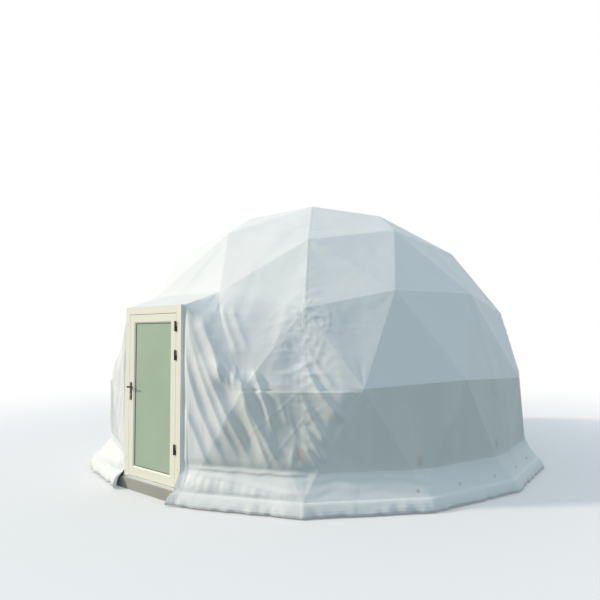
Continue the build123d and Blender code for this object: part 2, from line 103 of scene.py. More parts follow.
# Geodesic frame: galvanised steel tubes with flattened ends, bolted to round plates at the hubs,
# and to shoes on the pad. The tubes keep the zinc's mottled grey.
struts = [
    "base_ring", "base_struts", "waist_ring", "wall_struts", "shoulder_ring", "shoulder_struts",
    "upper_ring", "upper_struts", "crown_ring", "crown_struts", "portal_links",
]
plates = ["crown_hub", "upper_hubs_1", "upper_hubs_2", "shoulder_hubs", "waist_hubs", "base_shoes"]

# Hot-dip galvanised steel: a metal with flat zinc crystals of about 12 mm, each a slightly other grey
zinc, tree, shader = new_material("galvanised_steel", Metallic=0.85)
place = add_node(tree, "TexCoord", {}).outputs["Object"]
crystals = add_node(tree, "TexVoronoi", {"Vector": place, "Scale": 85.0})
spangle = add_node(tree, "RGBToBW", {0: crystals.outputs["Color"]})
grey = add_node(
    tree, "Mix", {0: spangle.outputs[0], 6: linear("#a3a7aa"), 7: linear("#c9cdcf")}, data_type="RGBA"
)
tree.links.new(grey.outputs[2], shader.inputs["Base Color"])
dull = add_node(tree, "MapRange", {0: spangle.outputs[0], 3: 0.34, 4: 0.55})
tree.links.new(dull.outputs[0], shader.inputs["Roughness"])
coat(zinc, *struts, *plates, "portal_posts", "portal_header", "lever_spindle")


# Membrane: one loose cover of white PVC-coated polyester, welded from gores that meet on the five upright
# seams. It lies on the tubes, hangs in folds from the porch, and its skirt is drawn over the pad's edge.
dome_radius, centre_z, base_joint_z = 3.0, 0.704, 0.165
tube_clearance = 0.0173  # from a tube's axis out to the cloth
facet_depth = 0.972  # how near the centre a flat triangle comes, as a share of the radius
cover_radius = dome_radius * (1 + tube_clearance / (facet_depth * dome_radius))
base_level = centre_z + (base_joint_z - centre_z) * cover_radius / dome_radius
centre = Vector((0, 0, centre_z))
seams = [radians(36 + 72 * i) for i in range(5)]

bpy.ops.object.select_all(action="DESELECT")
bpy.ops.mesh.primitive_ico_sphere_add(
    subdivisions=1, radius=cover_radius, location=centre, rotation=(0, 0, radians(18))
)
cover = bpy.context.active_object
cover.name = "membrane_cover"
mesh = cover.data
bpy.ops.object.transform_apply(location=True, rotation=True, scale=True)
bpy.ops.object.mode_set(mode="EDIT")
bpy.ops.mesh.select_all(action="SELECT")
bpy.ops.mesh.subdivide(number_cuts=2)
bpy.ops.transform.tosphere(value=1.0)
bm = bmesh.from_edit_mesh(mesh)


def nearest_hub(x, y, z):
    """The vertex of the cover's net nearest to a place."""
    return min(bm.verts, key=lambda v: (v.co - Vector((x, y, z))).length)


# Every vertex goes back on the sphere and the lowest ring is set level. What lies below it, and the hub in
# the doorway, are taken away.
base_reach = sqrt(cover_radius**2 - (base_level - centre.z) ** 2)
for v in bm.verts:
    v.co = centre + (v.co - centre).normalized() * cover_radius
    if -0.25 * cover_radius < v.co.z - centre.z < -0.1 * cover_radius:
        outward = Vector((v.co.x, v.co.y, 0)).normalized() * base_reach
        v.co = Vector((outward.x, outward.y, base_level))
spare = [v for v in bm.verts if v.co.z < base_level - 0.05] + [nearest_hub(0, -3, 1.25)]
bmesh.ops.delete(bm, geom=spare, context="VERTS")

# The net without its porch: each hub with the far ends of its tubes, and each tube with its two ends
hub_struts = [(v.co.copy(), [e.other_vert(v).co.copy() for e in v.link_edges]) for v in bm.verts]
hubs = [np.array(v.co) for v in bm.verts]
hub_normals = [np.array((v.co - centre).normalized()) for v in bm.verts]
tubes = [[np.array(v.co) for v in e.verts] for e in bm.edges]
for e in bm.edges:
    e.smooth = False

# The triangles below the waist ring are marked for a painted shade band
shade_band_below = 1.4
shade_band_layer = bm.faces.layers.float.new("lower_band")
for f in bm.faces:
    f[shade_band_layer] = float(max(v.co.z for v in f.verts) < shade_band_below)

# The porch: a roof from the door's head to the brow hubs, sides that hang from it, and a flap along each
# jamb. No hard edge stays where the cloth hangs clear of the tubes.
jamb_x, face_y, flap_y, head_z = 0.5325, -2.986, -2.962, 2.1015
porch = {}
for side in (-1, 1):
    brow, cheek = nearest_hub(side * 0.6, -2.5, 2.25), nearest_hub(side * 1.2, -2.7, 1.22)
    foot, base = nearest_hub(side * 0.6, -2.9, 0.16), nearest_hub(side * 1.74, -2.4, 0.16)
    for pair in ((brow, cheek), (cheek, foot), (cheek, base)):
        bm.edges.get(pair).smooth = True
    porch[side] = [brow, cheek, foot, base]
for side in (-1, 1):
    brow, cheek, foot, _ = porch[side]
    flap_corners = ((face_y, head_z), (flap_y, head_z), (face_y, base_level), (flap_y, base_level))
    head, shoulder, toe, heel = (bm.verts.new((side * jamb_x, y, z)) for y, z in flap_corners)
    for face in (
        (shoulder, cheek, brow), (shoulder, foot, cheek), (shoulder, heel, foot), (head, toe, heel, shoulder)
    ):
        bm.faces.new(face)
    porch[side] += [head, shoulder]
left_brow, *_, left_head, left_shoulder = porch[-1]
right_brow, *_, right_head, right_shoulder = porch[1]
bm.faces.new((left_head, right_head, right_shoulder, left_shoulder))
bm.faces.new((left_shoulder, right_shoulder, right_brow, left_brow))
bmesh.ops.recalc_face_normals(bm, faces=bm.faces)
brow, cheek, _, base = (np.array(v.co) for v in porch[1][:4])
waist = np.array(nearest_hub(2.19, -1.98, 1.22).co)
bmesh.update_edit_mesh(mesh)
bpy.ops.mesh.select_all(action="SELECT")
bpy.ops.mesh.quads_convert_to_tris()
bpy.ops.mesh.subdivide(number_cuts=17)
bpy.ops.mesh.select_mode(type="FACE")


def divide_finer(wanted):
    """Divides each face whose middle passes a test."""
    bm = bmesh.from_edit_mesh(mesh)
    for f in bm.faces:
        f.select_set(wanted(f.calc_center_median()))
    bmesh.update_edit_mesh(mesh)
    bpy.ops.mesh.subdivide(number_cuts=1)
    bpy.ops.mesh.select_all(action="SELECT")
    bpy.ops.mesh.quads_convert_to_tris()


def is_wrinkled(p):
    """Whether a place lies by a seam, in the skirt or on the loose sides of the porch."""
    turn = atan2(p.x, -p.y)
    from_seams = min(abs(sin((turn - s) / 2)) for s in seams) * 2 * sqrt(p.x**2 + p.y**2)
    return from_seams < 0.26 or p.z < 0.45 or (abs(turn) < radians(50) and p.z < 2.2)


def is_beside_door(p):
    """Whether a place lies on the folds beside the door, or in the skirt below them."""
    on_folds = 0.5 < abs(p.x) < 2.3 and p.z < 2.15
    return p.y < -1 and (on_folds or (p.z < 0.45 and abs(p.x) < 2.6))


divide_finer(is_wrinkled)
divide_finer(is_beside_door)
bpy.ops.object.mode_set(mode="OBJECT")


def vertex_rows(kind):
    """The place or the normal of each of the cover's vertices, as rows of x, y and z."""
    rows = np.empty(len(mesh.vertices) * 3)
    mesh.vertices.foreach_get(kind, rows)
    return rows.reshape(-1, 3)


# Where each point lies: how far from its nearest tube, at what azimuth from the door in radians, and at
# what level and reach. Azimuths turn into metres along the cloth at its reach beside the door.
points, normals = vertex_rows("co"), vertex_rows("normal")
count = len(points)
tube_gap = np.full(count, 9.0)
for a, b in tubes:
    run = b - a
    along = np.clip(((points - a) @ run) / (run @ run), 0, 1)
    tube_gap = np.minimum(tube_gap, np.linalg.norm(points - a - along[:, None] * run, axis=1))
turn = np.arctan2(points[:, 0], -points[:, 1])
turn_deg = np.degrees(turn)
level = points[:, 2]
reach = np.hypot(points[:, 0], points[:, 1])
side_of = np.sign(turn)
left_side = side_of < 0
aside = np.abs(turn_deg)
cloth_reach = 2.93


def ease(low, high, value):
    """0 below low, 1 above high, and a smooth rise between."""
    t = np.clip((value - low) / (high - low), 0, 1)
    return t * t * (3 - 2 * t)


def hump(value, middle, width):
    """1 at the middle, falling away on both sides."""
    return np.exp(-(((value - middle) / width) ** 2))


def unevenness(scales, offset=0.0, depth=2):
    """Smooth noise between about -1 and 1 at every point, with so many waves a metre along x, y and z."""
    shift = Vector((offset, -offset, 0.37 * offset))
    scales = Vector(scales)
    return np.array([noise.fractal(Vector(p) * scales + shift, 1.0, 2.0, depth) for p in points])


def across_seam(seam):
    """How far each point lies to the side of a seam, and whether it is on the seam's half of the dome."""
    off = points[:, 0] * cos(seam) + points[:, 1] * sin(seam)
    return off, points[:, 0] * sin(seam) - points[:, 1] * cos(seam) > 0


# The membrane dips 5 mm between the tubes and is nowhere quite flat
wave = unevenness((3.1, 3.1, 3.1), 4.0)
rise = -0.005 * ease(0, 0.3, tube_gap) + 0.0035 * wave * ease(0.01, 0.12, tube_gap)

# Short straight creases run out from each hub, at three spacings that never line up
for i, (hub, normal) in enumerate(zip(hubs, hub_normals)):
    away = points - hub
    gap = np.linalg.norm(away, axis=1)
    near = (gap < 0.55) & (gap > 0.001)
    across = np.cross(normal, [0.31, 0.17, 0.93])
    across /= np.linalg.norm(across)
    angle = np.arctan2(away[near] @ np.cross(normal, across), away[near] @ across)
    rays = np.sin(7 * angle + i) + 0.7 * np.sin(11 * angle + 2.3 * i) + 0.5 * np.sin(17 * angle - i)
    fading = hump(gap[near], 0, 0.2) * ease(0.02, 0.1, gap[near]) * ease(0.0, 0.05, tube_gap[near])
    rise[near] += 0.002 * fading * rays

# Rows of slanting puckers cross the welded seams, larger where the cloth is slack between crown and skirt
arc_down = np.arctan2(reach, level - centre.z) * dome_radius
slack = 0.35 + 0.65 * ease(0.9, 2.6, arc_down) * (1 - ease(4.6, 5.1, arc_down))
for i, seam in enumerate(seams):
    off, ahead = across_seam(seam)
    pucker = np.sin(2 * pi * (arc_down + 0.75 * np.abs(off)) / 0.15 + 5.0 * wave + i)
    pucker += 0.6 * np.sin(2 * pi * (arc_down - 0.4 * off) / 0.093 - 4.0 * wave + 2 * i)
    size = 0.0042 * slack * hump(off, 0, 0.15) * ease(0.0, 0.03, np.abs(off))
    rise += np.where(ahead, size * np.clip(0.55 + 0.9 * wave, 0, 1.4) * pucker, 0)

# Beside the door the cover hangs loose. Above the waist it stands clear of the slanting tube beside the brow,
# so that it runs in one sweep from the jamb on to the dome.
jamb_turn = degrees(atan2(jamb_x, -flap_y))
from_jamb = np.radians(np.clip(aside - jamb_turn, 0, 90)) * cloth_reach
front_side = points[:, 1] < -1.5


def place_on(a, b):
    """Where the line from a to b crosses each point's level, in plan."""
    along = np.clip((level - b[2]) / (a[2] - b[2]), 0, 1)[:, None]
    return (b + (a - b) * along)[:, :2]


def turn_on(a, b):
    """The azimuth, in degrees, of the line from a to b at each point's level."""
    spot = place_on(a, b)
    return np.degrees(np.arctan2(spot[:, 0], -spot[:, 1]))


def heading(azimuth):
    """The level direction at an azimuth from the door, in degrees, for the door's right side."""
    return np.array((sin(radians(azimuth)), -cos(radians(azimuth))))


inner_turn, outer_turn = turn_on(brow, np.array((jamb_x, flap_y, head_z))), turn_on(brow, cheek)
across_cheek = (aside - inner_turn) / np.maximum(outer_turn - inner_turn, 0.5)
on_cheek = np.clip(across_cheek, 0, 1)
beyond = np.radians(aside - outer_turn) * cloth_reach
stand_off = front_side * np.where(left_side, 0.05, 0.135)
stand_off *= np.interp(
    level, (1.2, 1.4, 1.6, 1.85, 2.0, 2.12, 2.2, 2.3), (0, 0.3, 0.75, 1.0, 0.95, 0.7, 0.4, 0)
)
sweep = stand_off * on_cheek**1.3 * (1 - ease(0.0, 0.75, beyond))
pull = heading(22)
laid = points.copy()
laid[:, 0] += side_of * pull[0] * sweep
laid[:, 1] += pull[1] * sweep

# Between the jamb and that tube the cloth is then drawn nearly straight
jamb_end = np.array((jamb_x, flap_y))
straight = jamb_end + (place_on(brow, cheek) + pull * stand_off[:, None] - jamb_end) * on_cheek[:, None]
drawn = 0.85 * ease(1.25, 1.6, level) * (1 - ease(1.98, 2.1, level)) * front_side
drawn *= (across_cheek > 0) & (across_cheek < 1)
laid[:, 0] += (side_of * straight[:, 0] - laid[:, 0]) * drawn
laid[:, 1] += (straight[:, 1] - laid[:, 1]) * drawn

# The loose cloth stands 30 to 40 mm off, and its folds rise towards the front, not square to the triangles
upper = ease(-0.1, 0.12, -beyond) * (level > 1.2)
lower = ease(-0.02, 0.2, np.radians(turn_on(waist, base) - aside) * cloth_reach) * (level <= 1.2)
loose = np.maximum(upper, lower) * front_side
loose *= ease(0.0, 0.05, from_jamb) * ease(0.0, 0.15, head_z - level) * ease(0.34, 0.5, level)
small_wave = unevenness((9.0, 9.0, 1.6), 7.0)
rise += loose * (np.where(left_side, 0.04, 0.03) + 0.003 * small_wave + 0.004 * wave)
tilt = (loose * ease(1.0, 1.3, level))[:, None]
forward = heading(24)
forward = np.stack([side_of * forward[0], np.full(count, forward[1]), np.zeros(count)], axis=1)
normals = normals * (1 - tilt) + forward * tilt
normals /= np.linalg.norm(normals, axis=1)[:, None]

# Below the upper five-way hubs the slack is crumpled on both sides of the seam
crumple = np.abs(unevenness((3.0, 3.0, 9.0), 11.0, 1)) + 0.5 * np.abs(unevenness((9.0, 9.0, 5.0), 17.0, 1))
crumpled = np.clip(1 - 2.2 * crumple, 0, 1) * ease(1.0, 1.3, level) * (1 - ease(1.95, 2.15, level))
for seam in seams:
    off, ahead = across_seam(seam)
    rise += np.where(ahead, 0.011 * crumpled * hump(off, 0, 0.3) * ease(0.0, 0.04, tube_gap), 0)


def soften(path):
    """A path with its corners cut off three times."""
    path = [np.array(p, dtype=float) for p in path]
    for _ in range(3):
        cut = [path[0]]
        for a, b in zip(path, path[1:]):
            cut += [0.75 * a + 0.25 * b, 0.25 * a + 0.75 * b]
        path = cut + [path[-1]]
    return path


def add_fold(path, width, height, lean=0.25, start=0.22, end=0.3):
    """Raises a fold along a path of azimuths in degrees and levels in metres, on both sides of the door.

    Lean widens the flank on the door's side and steepens the other. Start and end are the shares of the
    fold's length over which it rises and dies away.
    """
    line = [np.array((radians(azimuth) * cloth_reach, z)) for azimuth, z in soften(path)]
    lengths = [np.linalg.norm(b - a) for a, b in zip(line, line[1:])]
    total = sum(lengths)
    flat = np.stack([np.radians(aside) * cloth_reach, level], axis=1)
    within = (flat > np.min(line, axis=0) - 0.3) & (flat < np.max(line, axis=0) + 0.3)
    near = np.all(within, axis=1) & (points[:, 1] < 0)
    spot = flat[near]
    distance = np.full(len(spot), 9.0)
    signed, along = np.zeros(len(spot)), np.zeros(len(spot))
    passed = 0.0
    for a, b, length in zip(line, line[1:], lengths):
        run = (b - a) / length
        t = np.clip((spot - a) @ run, 0, length)
        gap = spot - a - t[:, None] * run
        closer = np.linalg.norm(gap, axis=1) < distance
        distance = np.minimum(distance, np.linalg.norm(gap, axis=1))
        signed = np.where(closer, run[1] * gap[:, 0] - run[0] * gap[:, 1], signed)
        along = np.where(closer, passed + t, along)
        passed += length
    flank = np.where(signed < 0, width * (1 - lean), width * (1 + lean))
    crest = np.exp(-1.3 * (distance / flank) ** 1.45) - 0.1 * hump(distance / flank, 2.0, 1.0)
    swell = ease(0, start * total, along) * ease(0, end * total, total - along)
    tall = height * np.where(left_side[near], 0.35, 1 - 0.5 * ease(1.2, 1.7, level[near]))
    rise[near] += tall * crest * swell * ease(0.0, 0.08, from_jamb[near]) * ease(0.3, 0.42, level[near])


# The long folds that fan out from above the door's head and from the waist hub: width, height and path
long_folds = [
    (
        0.066, 0.052,
        [(10.9, 2.08), (12.0, 1.86), (13.8, 1.66), (16.2, 1.42), (19.4, 1.08), (23.2, 0.74), (26.4, 0.36)],
    ),
    (
        0.06, 0.044,
        [(10.7, 2.04), (11.8, 1.8), (13.6, 1.52), (15.8, 1.24), (18.8, 0.92), (22.0, 0.6), (23.4, 0.4)],
    ),
    (0.055, 0.036, [(10.4, 1.76), (11.5, 1.42), (14.2, 1.0), (17.6, 0.7), (20.6, 0.36)]),
    (0.05, 0.028, [(10.4, 1.06), (13.4, 0.72), (17.0, 0.36)]),
    (0.078, 0.08, [(13.2, 2.04), (15.4, 1.8), (17.6, 1.6), (19.2, 1.4), (20.4, 1.2)]),
    (0.05, 0.03, [(15.8, 2.14), (18.4, 1.92), (21.0, 1.7), (23.2, 1.5)]),
    (0.05, 0.024, [(18.6, 2.1), (21.8, 1.84), (25.0, 1.56)]),
    (0.06, 0.045, [(22.6, 1.44), (24.4, 1.18), (27.0, 0.88), (30.0, 0.6), (32.8, 0.38)]),
    (0.045, 0.028, [(23.6, 1.2), (25.8, 0.9), (28.0, 0.62), (29.6, 0.38)]),
    (0.04, 0.03, [(25.4, 1.46), (27.6, 1.22), (29.1, 0.96), (30.6, 0.72)]),
    (0.05, 0.032, [(35.6, 1.52), (38.2, 1.26), (41.4, 1.04), (45.0, 0.86)]),
    (0.04, 0.016, [(36.2, 1.7), (38.0, 1.5), (40.4, 1.33), (43.0, 1.2)]),
    (0.04, 0.026, [(35.8, 1.12), (38.2, 0.88), (41.2, 0.64)]),
    (0.036, 0.022, [(35.8, 0.88), (38.2, 0.66), (40.6, 0.46)]),
    (0.03, 0.014, [(36.0, 0.7), (37.6, 0.54), (39.4, 0.4)]),
]
for width, height, path in long_folds:
    add_fold(path, width, height)

# Short puckers below the brow hub and round the waist hub, and thin hard creases that cross the folds
short_puckers = [
    [(15.0, 2.2), (15.2, 2.08), (15.8, 1.96)],
    [(18.9, 1.56), (19.1, 1.4), (19.6, 1.22)],
    [(20.6, 1.5), (20.7, 1.34), (21.3, 1.14)],
    [(22.0, 1.52), (22.2, 1.36), (22.6, 1.18)],
    [(34.3, 0.72), (33.4, 0.4)],
    [(30.8, 1.18), (32.4, 0.95), (33.4, 0.76)],
    [(32.2, 1.12), (33.8, 0.86), (34.8, 0.66)],
]
thin_creases = [
    [(38.9, 1.1), (31.7, 0.66), (27.4, 0.34)],
    [(36.3, 1.24), (28.5, 0.9), (20.5, 0.56)],
    [(18.0, 1.41), (22.7, 1.52)],
    [(48.6, 1.2), (39.7, 0.43)],
    [(53.0, 0.55), (66.9, 0.81), (82.8, 0.97)],
    [(61.3, 0.51), (71.9, 0.65), (87.9, 0.81)],
    [(68.0, 0.42), (87.9, 0.58)],
    [(39.5, 1.84), (58.0, 1.85), (77.1, 1.88)],
]
for path in short_puckers:
    add_fold(path, width=0.03, height=0.012, start=0.45, end=0.5)
for path in thin_creases:
    add_fold(path, width=0.013, height=0.003, lean=0.0, start=0.2, end=0.2)

# The cloth doesn't sink into a tube, and lies close along the jamb's flap
rise = np.maximum(rise, -0.3 * np.maximum(tube_gap - 0.02, 0)) + 0.0012
on_flap = (points[:, 1] < flap_y + 0.001) & (np.abs(np.abs(points[:, 0]) - jamb_x) < 0.002)
rise[on_flap] = 0.001
moved = laid + normals * rise[:, None]

# The skirt: below 0.42 m the cover leaves the tubes and flares out over the pad's rim. Beside the door
# it is bunched in level rolls. Its end stays at the jamb's foot.
pad_corners = np.array([
    -180, -155.82, -132.18, -108, -83.82, -60.18, -36, -11.82,
    11.82, 36, 60.18, 83.82, 108, 132.18, 155.82, 180,
])
rim_z, rim_reach, skirt_z = 0.142, 3.084, 0.42
photo_turn = 38.5  # the photograph was taken from this azimuth


def fifteen_sided(radius):
    """The reach of a fifteen-sided outline at each point's azimuth, its corners eased over 8 degrees."""
    total = 0
    for shift in (-4, -2, 0, 2, 4):
        turned = (turn_deg + shift + 180) % 360 - 180
        i = np.clip(np.searchsorted(pad_corners, turned, side="right") - 1, 0, 14)
        before, after = pad_corners[i], pad_corners[i + 1]
        side_reach = radius * np.cos(np.radians((after - before) / 2))
        total = total + side_reach / np.cos(np.radians(turned - (before + after) / 2))
    return total / 5


drop = np.clip((skirt_z - level) / (skirt_z - base_level), 0, 1)
flare = fifteen_sided(rim_reach) - fifteen_sided(base_reach)
spread = 0.06 * ease(50, 110, np.abs(turn_deg - photo_turn))
side_bag = 0.1 * hump(turn_deg, -29, 9) * drop
push = (flare + spread) * drop**1.7 + side_bag

# Beside the door: a narrow roll below the weld, a ridge, and a bulge from the ridge down to the rim
ridge_at = 0.27 + 0.5 * ease(10, 37, aside) + 0.05 * wave
below_ridge = np.clip((drop - ridge_at) / (1 - ridge_at), 0, 1)
bulge = 0.055 * (1 - ridge_at) * np.sin(pi * below_ridge) ** 0.8 * (1 + 0.5 * small_wave)
roll = 0.02 * hump(drop, 0.13 + 0.04 * small_wave, 0.07) + 0.02 * hump(drop, ridge_at, 0.06)
roll += bulge + 0.014 * np.sin(pi * drop)
roll *= 0.3 + 0.7 * ease(0.0, 0.35, from_jamb)
bunched = 1 - ease(31, 40, aside)
ripple = 0.002 * np.sin(2 * pi * (level + 0.0012 * turn_deg) / 0.09 + 3.0 * wave)
push += bunched * roll * ease(0.0, 0.12, drop) * ease(0, 0.1, 1 - drop)
push += (1 - bunched) * ripple * ease(0, 0.3, drop) * ease(0, 0.15, 1 - drop)

# At the jambs it is pushed straight ahead. On the left it hangs closer until it reaches the rim.
at_jamb = (1 - ease(0.0, 0.3, from_jamb)) * (aside < 40) * (points[:, 1] < 0)
out_x, out_y = np.sin(turn) * (1 - at_jamb), -np.cos(turn) * (1 - at_jamb) - at_jamb
held_back = 0.2 + 0.8 * np.maximum(ease(0.0, 0.2, from_jamb), drop**12)
push = np.where(left_side & (aside < 40), push * held_back, push)
moved[:, 0] += out_x * push
moved[:, 1] += out_y * push
front = face_y - 0.048 * drop ** np.where(left_side, 12, 1.7) - np.where(left_side, 0.0, 0.3) * roll
to_front = np.clip((points[:, 1] - flap_y) / (face_y - flap_y), 0, 1)
flap_line = (flap_y + out_y * push) * (1 - to_front) + front * to_front
moved[:, 1] = np.where(on_flap & (drop > 0), flap_line, moved[:, 1])
moved[:, 2] -= (base_level - rim_z) * drop**2
mesh.vertices.foreach_set("co", moved.ravel())
mesh.update()

# The hem: the free edge is drawn down over the pad's rim to the ground in small folds, and turned under.
# Each row is how far out and how far down the edge goes.
hem_rows = [
    (0.0158, -0.005), (0.0158, -0.014), (0.0148, -0.024), (0.0138, -0.03), (0.0088, -0.03), (-0.0042, -0.022)
]
bpy.ops.object.mode_set(mode="EDIT")
bpy.ops.mesh.select_mode(type="EDGE")
bm = bmesh.from_edit_mesh(mesh)
for e in bm.edges:
    e.select_set(e.is_boundary and max(v.co.z for v in e.verts) < 0.17)
bmesh.update_edit_mesh(mesh)
for step, (outward, down) in enumerate(hem_rows):
    bpy.ops.mesh.extrude_edges_move()
    bm = bmesh.from_edit_mesh(mesh)
    for v in [v for v in bm.verts if v.select]:
        around = atan2(v.co.x, -v.co.y)
        unseen = min(1.0, max(0.0, (abs(degrees(around) - photo_turn) - 30) / 60))
        at_door = min(1.0, max(0.0, 1 - (abs(degrees(around)) - jamb_turn) / 7))
        away = Vector((sin(around), -cos(around), 0)).lerp(Vector((0, -1, 0)), at_door)
        crumple = noise.noise(Vector((around * 9, step * 0.8, 3.0)))
        fine = noise.noise(Vector((around * 34, step * 0.4, 8.0)))
        v.co += away * (outward + 0.005 * unseen + 0.004 * crumple + 0.002 * fine * step)
        v.co.x -= (0.009 if v.co.x > 0 else -0.009) * at_door
        v.co.z = max(0.003, v.co.z + down * (1 + 0.1 * crumple))
bpy.ops.mesh.select_all(action="SELECT")
bpy.ops.mesh.normals_make_consistent(inside=False)
bpy.ops.object.mode_set(mode="OBJECT")
for polygon in mesh.polygons:
    polygon.use_smooth = True

# For the material: how far each point lies from a seam, and the brownish stains low on the cloth
points = vertex_rows("co")
count = len(points)
turn_deg = np.degrees(np.arctan2(points[:, 0], -points[:, 1]))
reach = np.hypot(points[:, 0], points[:, 1])
seam_gap = np.full(count, 9.0)
for seam in seams:
    off, ahead = across_seam(seam)
    seam_gap = np.where(ahead, np.minimum(seam_gap, np.abs(off)), seam_gap)
stain = np.zeros(count)
for azimuth, z, half_width, half_height in (
    (35.4, 0.57, 0.04, 0.08), (59.5, 0.48, 0.03, 0.07), (82.4, 0.51, 0.035, 0.04), (-35.0, 0.6, 0.04, 0.07)
):
    across = np.radians(turn_deg - azimuth) * cloth_reach
    stain += np.exp(-((across / half_width) ** 4) - (((points[:, 2] - z) / half_height) ** 4))
mesh.attributes.new("seam_gap", "FLOAT", "POINT").data.foreach_set("value", seam_gap)
mesh.attributes.new("stain", "FLOAT", "POINT").data.foreach_set("value", stain)

# The cloth's own pattern in metres, gore by gore: across from the gore's middle, and down from the crown
cut = mesh.uv_layers.new(name="cloth_pattern")
ends = np.empty(len(mesh.loops), dtype=int)
mesh.loops.foreach_get("vertex_index", ends)
owner = np.repeat(np.arange(len(mesh.polygons)), [p.loop_total for p in mesh.polygons])
middle = np.zeros((len(mesh.polygons), 2))
np.add.at(middle, owner, points[ends][:, :2])
gore = np.round(np.degrees(np.arctan2(middle[:, 0], -middle[:, 1])) / 72)[owner] * 72
from_middle = np.radians((turn_deg[ends] - gore + 180) % 360 - 180) * reach[ends]
from_crown = np.arctan2(reach[ends], points[ends][:, 2] - centre.z) * dome_radius
cut.uv.foreach_set("vector", np.stack([from_middle, from_crown], axis=1).ravel().astype(np.float32))

# PVC-coated polyester, calendered: white and half matt. Straight pull lines cross it, painted shade makes it
# greyer and greener below the waist ring, and a 40 mm weld lap lies along each seam.
membrane, tree, shader = new_material("pvc_coated_polyester", Roughness=0.5, Specular_IOR_Level=0.35)
coordinates = add_node(tree, "TexCoord", {})
place, cloth = coordinates.outputs["Object"], coordinates.outputs["UV"]
soiling = add_node(tree, "TexNoise", {"Vector": place, "Scale": 1.3, "Detail": 5.0})
white = add_node(
    tree, "Mix", {0: soiling.outputs[0], 6: linear("#eceeec"), 7: linear("#f6f7f5")}, data_type="RGBA"
)

# Painted shade: greyer and greener below the waist ring, down to the skirt's weld, with faint upright streaks
# where rain has run
streak_place = add_node(tree, "Mapping", {0: cloth, 3: (26.0, 1.6, 1.0)})
streaks = add_node(tree, "TexNoise", {"Vector": streak_place.outputs[0], "Scale": 1.0, "Detail": 3.0})
band_shade = add_node(
    tree, "Mix", {0: streaks.outputs[0], 6: linear("#cbd2ce"), 7: linear("#f4f4f0")}, data_type="RGBA"
)
height = add_node(tree, "SeparateXYZ", {0: place}).outputs["Z"]
above_skirt = add_node(tree, "MapRange", {0: height, 1: 0.385, 2: 0.395}, interpolation_type="SMOOTHSTEP")
# The painted shade's mask: the marked triangles, above the skirt
in_shade_band = add_node(tree, "Attribute", {}, attribute_name="lower_band").outputs["Fac"]
in_shade_band = add_node(tree, "Math", {0: in_shade_band, 1: above_skirt.outputs[0]}, operation="MULTIPLY").outputs[0]
colour = add_node(tree, "Mix", {0: in_shade_band, 6: white.outputs[2], 7: band_shade.outputs[2]}, data_type="RGBA")

# Brownish stains, patchy
dirt = add_node(tree, "Attribute", {}, attribute_name="stain").outputs["Fac"]
patchy = add_node(tree, "TexNoise", {"Vector": place, "Scale": 22.0, "Detail": 4.0})
dirt = add_node(tree, "Math", {0: dirt, 1: patchy.outputs[0]}, operation="MULTIPLY")
colour = add_node(
    tree, "Mix", {0: dirt.outputs[0], 6: colour.outputs[2], 7: linear("#c9b8a0")}, data_type="RGBA"
)
tree.links.new(colour.outputs[2], shader.inputs["Base Color"])

# Thin straight pull lines, in patches, at two slants
pull_lines = 0.0
patches = add_node(tree, "TexNoise", {"Vector": place, "Scale": 1.4, "Detail": 1.0})
for slant, none_at, full_at in ((38, 0.42, 0.56), (-42, 0.58, 0.44)):
    run = add_node(tree, "Mapping", {0: cloth, 2: (0, 0, radians(slant)), 3: (7.0, 0.8, 1.0)})
    lie = add_node(
        tree, "TexNoise", {"Vector": run.outputs[0], "Scale": 1.0, "Detail": 1.0, "Distortion": 0.2}
    )
    line = add_node(tree, "Math", {0: lie.outputs[0], 1: 0.5}, operation="SUBTRACT")
    line = add_node(tree, "Math", {0: line.outputs[0]}, operation="ABSOLUTE")
    thin = add_node(
        tree, "MapRange", {0: line.outputs[0], 1: 0.0, 2: 0.035, 3: 1.0, 4: 0.0},
        interpolation_type="SMOOTHSTEP",
    )
    where = add_node(tree, "MapRange", {0: patches.outputs[0], 1: none_at, 2: full_at})
    pull_lines = add_node(
        tree, "Math", {0: thin.outputs[0], 1: where.outputs[0], 2: pull_lines}, operation="MULTIPLY_ADD"
    ).outputs[0]

# Small wrinkles that grow towards the seams, and the weld's lap
seam_distance = add_node(tree, "Attribute", {}, attribute_name="seam_gap").outputs["Fac"]
lap = add_node(tree, "MapRange", {0: seam_distance, 1: 0.018, 2: 0.024, 3: 1.0, 4: 0.0})
by_seam = add_node(tree, "MapRange", {0: seam_distance, 1: 0.03, 2: 0.6, 3: 1.0, 4: 0.0})
soft = add_node(tree, "TexNoise", {"Vector": place, "Scale": 6.0, "Detail": 2.0})
bump = add_node(tree, "Bump", {"Strength": 0.6, "Distance": 0.008, "Height": soft.outputs[0]})
for slant in (24, -31):
    run = add_node(tree, "Mapping", {0: cloth, 2: (0, 0, radians(slant)), 3: (2.6, 16.0, 1.0)})
    wrinkle = add_node(
        tree, "TexNoise", {"Vector": run.outputs[0], "Scale": 1.0, "Detail": 2.0, "Distortion": 0.6}
    )
    crease = add_node(tree, "Math", {0: wrinkle.outputs[0], 1: 0.5}, operation="SUBTRACT")
    crease = add_node(tree, "Math", {0: crease.outputs[0]}, operation="ABSOLUTE")
    crease = add_node(
        tree, "Math", {0: crease.outputs[0], 1: by_seam.outputs[0]}, operation="MULTIPLY"
    ).outputs[0]
    bump = add_node(
        tree, "Bump", {"Strength": 0.9, "Distance": 0.045, "Height": crease, "Normal": bump.outputs[0]}
    )
bump = add_node(
    tree, "Bump", {"Strength": 1.0, "Distance": 0.012, "Height": pull_lines, "Normal": bump.outputs[0]}
)
bump = add_node(
    tree, "Bump", {"Strength": 0.8, "Distance": 0.0015, "Height": lap.outputs[0], "Normal": bump.outputs[0]}
)
tree.links.new(bump.outputs[0], shader.inputs["Normal"])
coat(membrane, cover)

